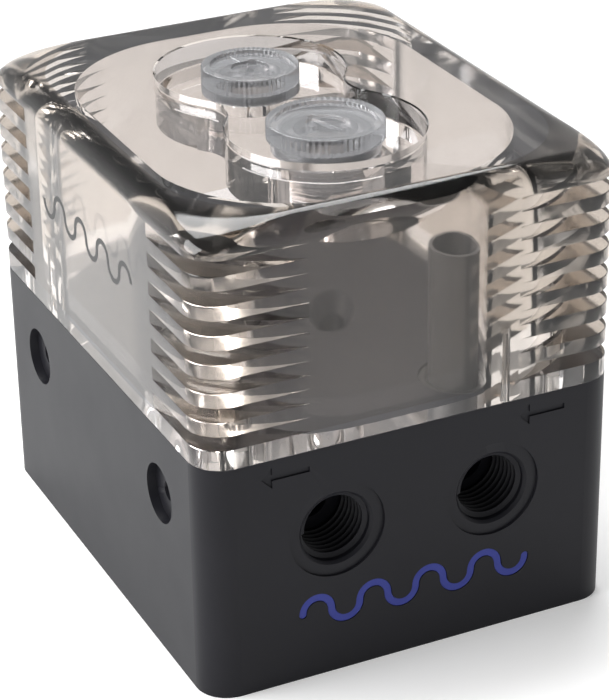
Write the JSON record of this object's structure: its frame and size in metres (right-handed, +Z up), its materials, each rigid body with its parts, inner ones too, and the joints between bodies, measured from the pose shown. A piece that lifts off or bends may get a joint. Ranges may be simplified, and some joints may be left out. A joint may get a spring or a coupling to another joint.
{
  "type": "coolant pump reservoir",
  "caption": "Clear grooved coolant reservoir with two knurled filling plugs on a black pump base with two threaded ports and a magnet-driven pump inside.",
  "frame": {"origin": "middle of the underside of the base", "axes": "+Z up, -Y out of the face with the two ports, +X to the right of that face (the inlet side)"},
  "size_m": [0.08, 0.098, 0.0891],
  "materials": {
    "clear_acrylic": "polished smoked acrylic",
    "seal_rubber": "matt",
    "black_acetal": "satin machined",
    "steel": "zinc plated",
    "dark_pipe": "satin",
    "clear_plug": "translucent moulded",
    "blue_inlay": "satin",
    "motor_plastic": "moulded",
    "impeller_plastic": "moulded",
    "ferrite": "ground",
    "carbon_bush": "ground",
    "ceramic": "ground",
    "laminations": "laminated",
    "copper": "enamelled",
    "board_green": "solder mask",
    "component_black": "moulded"
  },
  "bodies": {
    "case": {"reservoir_top": "clear_acrylic", "top_seal": "seal_rubber", "pump_base": "black_acetal", "case_screws": "steel", "inlet_standpipe": "dark_pipe", "standpipe_ring": "seal_rubber", "wave_inlay": "blue_inlay", "motor_housing": "motor_plastic", "pump_seal": "seal_rubber", "pump_screws": "steel", "thrust_washer": "ceramic", "rotor_shaft": "ceramic", "stator_core": "laminations", "stator_windings": "copper", "circuit_board": "board_green", "board_components": "component_black", "rear_cover": "motor_plastic", "cable_grommet": "seal_rubber"},
    "rotor": {"impeller": "impeller_plastic", "rotor_magnet": "ferrite", "bearing_bush": "carbon_bush"},
    "rear_plug_seal": {"rear_plug_ring": "seal_rubber"},
    "rear_plug": {"rear_fill_plug": "clear_plug"},
    "front_plug_seal": {"front_plug_ring": "seal_rubber"},
    "front_plug": {"front_fill_plug": "clear_plug"}
  },
  "joints": [
    {"name": "impeller_spin", "type": "hinge", "parent": "case", "child": "rotor", "pos_m": [0, 0.004, 0.0252], "axis": [0, 0, 1], "continuous": true},
    {"name": "rear_plug_lift", "type": "slide", "parent": "case", "child": "rear_plug_seal", "axis": [0, 0, 1], "range_m": [0, 0.00935]},
    {"name": "rear_plug_turn", "type": "hinge", "parent": "rear_plug_seal", "child": "rear_plug", "pos_m": [0, 0.0167, 0.0836], "axis": [0, 0, 1], "range_deg": [0, 2520]},
    {"name": "front_plug_lift", "type": "slide", "parent": "case", "child": "front_plug_seal", "axis": [0, 0, 1], "range_m": [0, 0.00935]},
    {"name": "front_plug_turn", "type": "hinge", "parent": "front_plug_seal", "child": "front_plug", "pos_m": [0, -0.0149, 0.0836], "axis": [0, 0, 1], "range_deg": [0, 2520]}
  ],
  "couplings": [
    {"joint": "rear_plug_turn", "follows": "rear_plug_lift", "rad_per_m": 4699.5},
    {"joint": "front_plug_turn", "follows": "front_plug_lift", "rad_per_m": 4699.5}
  ]
}
